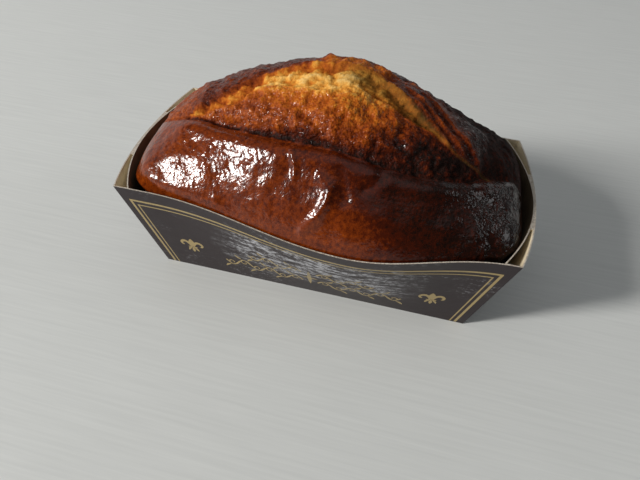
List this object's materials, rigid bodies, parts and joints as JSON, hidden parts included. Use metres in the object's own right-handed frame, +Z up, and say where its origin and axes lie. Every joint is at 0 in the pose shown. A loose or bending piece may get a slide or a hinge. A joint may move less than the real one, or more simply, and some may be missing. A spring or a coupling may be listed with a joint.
{
  "type": "lemon loaf cake in a card tray",
  "caption": "Loaf cake with a glossy brown crust, burst open along its domed top, in a flared folded card baking tray.",
  "frame": {"origin": "on the table, under the middle of the tray and of the whole object", "axes": "+Z up, X along the loaf, -Y out of the printed front panel"},
  "size_m": [0.2052, 0.1178, 0.1091],
  "materials": {
    "baked_crust": "baked cake crust, glossy dark brown at the sides and golden crumb in the burst",
    "printed_card": "satin dark print with gold lines outside, bare brown card inside"
  },
  "bodies": {
    "root": {"cake": "baked_crust", "tray": "printed_card"}
  },
  "joints": []
}
